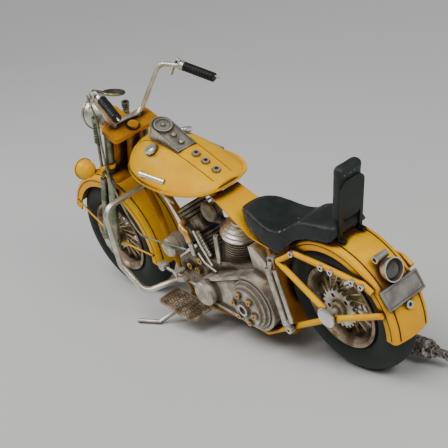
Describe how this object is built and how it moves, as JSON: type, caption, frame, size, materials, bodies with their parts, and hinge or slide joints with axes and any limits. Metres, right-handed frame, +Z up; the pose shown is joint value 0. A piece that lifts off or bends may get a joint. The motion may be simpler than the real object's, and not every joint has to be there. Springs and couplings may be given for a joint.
{
  "type": "tin motorcycle model",
  "caption": "Handmade tin model of a yellow V-twin cruiser with tall bars, two-up saddle, backrest and wire wheels, leaning on its side stand.",
  "frame": {"origin": "centre of the bounding box, on the floor that the tyres and the side stand rest on", "axes": "+X forwards, +Y to the rider's left, the side it leans to, +Z up from the floor"},
  "size_m": [0.2672, 0.0846, 0.1418],
  "materials": {
    "yellow_enamel": "satin",
    "pewter": "aged satin",
    "bright_silver": "satin",
    "aged_grey": "aged satin",
    "bronze": "aged",
    "wheel_steel": "aged",
    "tyre_rubber": "matte",
    "grip_rubber": "matte",
    "black_leather": "satin",
    "black_enamel": "satin",
    "lamp_glass": "gloss",
    "mirror_glass": "aged"
  },
  "bodies": {
    "root": {"frame_backbone": "yellow_enamel", "frame_down_tubes": "yellow_enamel", "lower_rails": "yellow_enamel", "rear_stays": "yellow_enamel", "shocks": "bright_silver", "crash_bars": "bright_silver", "seat_plate": "yellow_enamel", "tank_shell": "yellow_enamel", "tank_pan": "yellow_enamel", "tank_badges": "bright_silver", "filler_caps": "bright_silver", "ring_rivets": "bright_silver", "dash_console": "pewter", "dash_instruments": "pewter", "seat_pad": "black_leather", "backrest_pad": "black_leather", "backrest_frame": "black_enamel", "rear_fender": "yellow_enamel", "tail_light": "bright_silver", "tail_light_lens": "lamp_glass", "number_plate": "bright_silver", "crankcase": "pewter", "front_cylinder": "pewter", "rear_cylinder": "pewter", "rear_dome": "bright_silver", "pushrod_tubes": "pewter", "intake_elbow": "bronze", "air_cleaner": "pewter", "generator": "pewter", "primary_cover": "pewter", "clutch_dome": "pewter", "brass_bolts": "bronze", "oil_tank": "pewter", "floorboards": "bronze", "shift_linkage": "bright_silver", "engine_wires": "bright_silver", "exhaust_pipes": "pewter", "muffler": "pewter", "rear_axle": "bright_silver"},
    "steering": {"fork_legs": "aged_grey", "springer_legs": "aged_grey", "fork_clamps": "bright_silver", "handlebar": "bright_silver", "grips": "grip_rubber", "bar_levers": "bright_silver", "mirror": "mirror_glass", "headlight": "bright_silver", "spot_lamps": "bright_silver", "lamp_lenses": "lamp_glass", "front_fender": "yellow_enamel", "front_axle": "bright_silver", "control_cable": "aged_grey"},
    "front_wheel": {"front_tyre": "tyre_rubber", "front_rim": "wheel_steel", "front_hub": "wheel_steel"},
    "rear_wheel": {"rear_tyre": "tyre_rubber", "rear_rim": "wheel_steel", "rear_hub": "wheel_steel", "rear_sprocket": "wheel_steel"},
    "side_stand": {"side_stand": "bright_silver"}
  },
  "joints": [
    {"name": "steer", "type": "hinge", "parent": "root", "child": "steering", "pos_m": [0.05239, 0.00546, 0.10748], "axis": [-0.4462, 0.1554, 0.8813], "range_deg": [-25, 25], "deforming": ["control_cable"]},
    {"name": "front_wheel_spin", "type": "hinge", "parent": "steering", "child": "front_wheel", "pos_m": [0.09599, -0.00709, 0.03628], "axis": [0, 0.9848, -0.1736], "continuous": true},
    {"name": "rear_wheel_spin", "type": "hinge", "parent": "root", "child": "rear_wheel", "pos_m": [-0.09401, -0.00709, 0.03628], "axis": [0, 0.9848, -0.1736], "continuous": true},
    {"name": "stand_swing", "type": "hinge", "parent": "root", "child": "side_stand", "pos_m": [0.03199, 0.00341, 0.00833], "axis": [0.0338, 0.405, 0.9137], "range_deg": [0, 95]}
  ]
}
